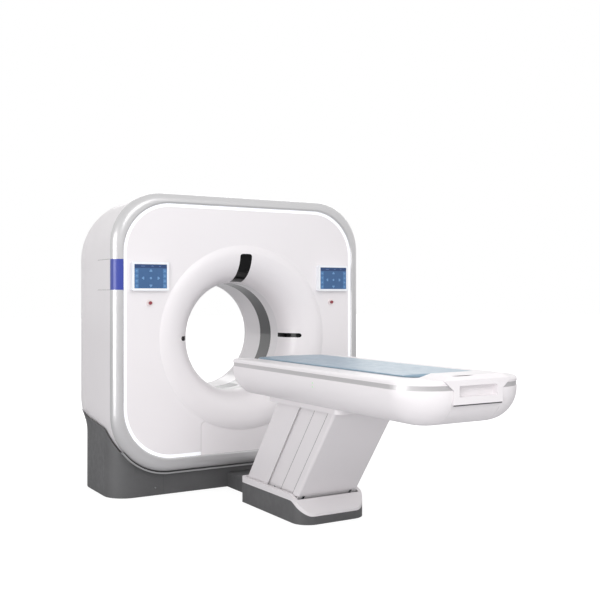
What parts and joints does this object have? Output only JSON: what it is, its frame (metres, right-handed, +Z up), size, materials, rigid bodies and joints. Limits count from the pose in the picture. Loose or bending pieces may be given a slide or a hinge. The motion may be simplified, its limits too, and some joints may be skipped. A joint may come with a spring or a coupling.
{
  "type": "ct scanner",
  "caption": "Rounded white gantry with a flared round bore on a dark cradle base, and a cantilevered patient table on a leaning parallelogram lift with a sliding padded cradle.",
  "frame": {"origin": "on the floor straight below the isocentre, midway across the gantry", "axes": "+Z up, +Y along the bore away from the table, +X to the right seen from the table end"},
  "size_m": [1.816, 3.054, 1.8995],
  "materials": {
    "white_cover": "satin moulded cover",
    "bezel_silver": "silver lacquer, glossy",
    "ring_light": "lit diffuser",
    "side_blue": "glossy",
    "dark_window": "polished",
    "bore_liner": "satin",
    "scan_window": "satin film",
    "screen_case": "satin",
    "screen_face": "polished",
    "button_collar": "satin",
    "button_red": "satin",
    "base_grey": "fine texture",
    "lip_grey": "satin",
    "frame_paint": "powder coat",
    "bearing_steel": "ground",
    "drum_metal": "machined",
    "tube_paint": "lacquer",
    "detector_metal": "anodised",
    "module_paint": "powder coat",
    "weight_iron": "painted",
    "slip_brass": "turned",
    "belt_rubber": "matt",
    "motor_paint": "lacquer",
    "column_cover": "satin",
    "skirt_grey": "fine texture",
    "trim_metal": "satin",
    "table_white": "satin",
    "cradle_board": "satin laminate",
    "pad_fabric": "coated fabric"
  },
  "bodies": {
    "gantry": {"access_panel": "white_cover", "base_lip": "lip_grey", "bearing_outer_ring": "bearing_steel", "bezel": "bezel_silver", "brush_block": "motor_paint", "drive_belt": "belt_rubber", "drive_motor": "motor_paint", "floor_plate": "frame_paint", "front_cover": "white_cover", "front_funnel": "white_cover", "front_liner": "bore_liner", "gantry_base": "base_grey", "left_screen_glass": "screen_face", "left_screen_housing": "screen_case", "lift_gearbox": "motor_paint", "light_ring": "ring_light", "pedestal_cover": "column_cover", "pedestal_frame": "frame_paint", "pedestal_skirt": "skirt_grey", "rear_cover": "white_cover", "rear_funnel": "white_cover", "rear_liner": "bore_liner", "right_screen_glass": "screen_face", "right_screen_housing": "screen_case", "side_band": "side_blue", "side_cover": "white_cover", "side_laser_windows": "dark_window", "stator_frame": "frame_paint", "stop_collars": "button_collar", "supply_gland": "belt_rubber", "top_laser_window": "dark_window", "trunk_cover": "skirt_grey", "xray_window": "scan_window"},
    "rotor": {"rotor_drum": "drum_metal", "bearing_inner_ring": "bearing_steel", "bearing_rollers": "bearing_steel", "xray_tube": "tube_paint", "collimator": "weight_iron", "voltage_generator": "module_paint", "detector_arc": "detector_metal", "data_module": "module_paint", "counterweight": "weight_iron", "slip_ring": "slip_brass"},
    "pulley": {"motor_pulley": "drum_metal"},
    "left_button": {"left_stop_button": "button_red"},
    "right_button": {"right_stop_button": "button_red"},
    "rear_link": {"rear_arms": "frame_paint", "rear_lift_cover": "column_cover"},
    "front_link": {"front_arms": "frame_paint", "foot_lift_cover": "column_cover"},
    "aft_slats": {"aft_side_slats": "column_cover"},
    "fore_slats": {"fore_side_slats": "column_cover"},
    "table": {"table_shell": "table_white", "table_deck": "table_white", "side_trim": "trim_metal", "end_cap": "table_white", "table_frame": "frame_paint", "lift_collar": "column_cover"},
    "cradle_body": {"cradle": "cradle_board", "pad": "pad_fabric"}
  },
  "joints": [
    {"name": "rotor_spin", "type": "hinge", "parent": "gantry", "child": "rotor", "pos_m": [0, 0, 0.98], "axis": [0, 1, 0], "continuous": true},
    {"name": "pulley_spin", "type": "hinge", "parent": "gantry", "child": "pulley", "pos_m": [0.672, 0, 0.428], "axis": [0, 1, 0], "continuous": true},
    {"name": "left_stop_press", "type": "slide", "parent": "gantry", "child": "left_button", "axis": [0, 1, 0], "range_m": [0, 0.004], "stiffness_N_per_m": 900},
    {"name": "right_stop_press", "type": "slide", "parent": "gantry", "child": "right_button", "axis": [0, 1, 0], "range_m": [0, 0.004], "stiffness_N_per_m": 900},
    {"name": "table_lift", "type": "hinge", "parent": "gantry", "child": "rear_link", "pos_m": [0, -0.846, 0.15], "axis": [-1, 0, 0], "range_deg": [-35.2, 12.8]},
    {"name": "front_link_swing", "type": "hinge", "parent": "gantry", "child": "front_link", "pos_m": [0, -1.39, 0.15], "axis": [-1, 0, 0], "range_deg": [-35.2, 12.8]},
    {"name": "aft_slat_swing", "type": "hinge", "parent": "gantry", "child": "aft_slats", "pos_m": [0, -1.14, 0.15], "axis": [-1, 0, 0], "range_deg": [-35.2, 12.8]},
    {"name": "fore_slat_swing", "type": "hinge", "parent": "gantry", "child": "fore_slats", "pos_m": [0, -1.33, 0.15], "axis": [-1, 0, 0], "range_deg": [-35.2, 12.8]},
    {"name": "table_level", "type": "hinge", "parent": "rear_link", "child": "table", "pos_m": [0, -1.22, 0.65], "axis": [-1, 0, 0], "range_deg": [-12.8, 35.2]},
    {"name": "cradle_slide", "type": "slide", "parent": "table", "child": "cradle_body", "axis": [0, 1, 0], "range_m": [0, 1.3]}
  ],
  "couplings": [
    {"joint": "pulley_spin", "follows": "rotor_spin", "ratio": 11.915},
    {"joint": "front_link_swing", "follows": "table_lift", "ratio": 1},
    {"joint": "aft_slat_swing", "follows": "table_lift", "ratio": 1},
    {"joint": "fore_slat_swing", "follows": "table_lift", "ratio": 1},
    {"joint": "table_level", "follows": "table_lift", "ratio": -1}
  ]
}
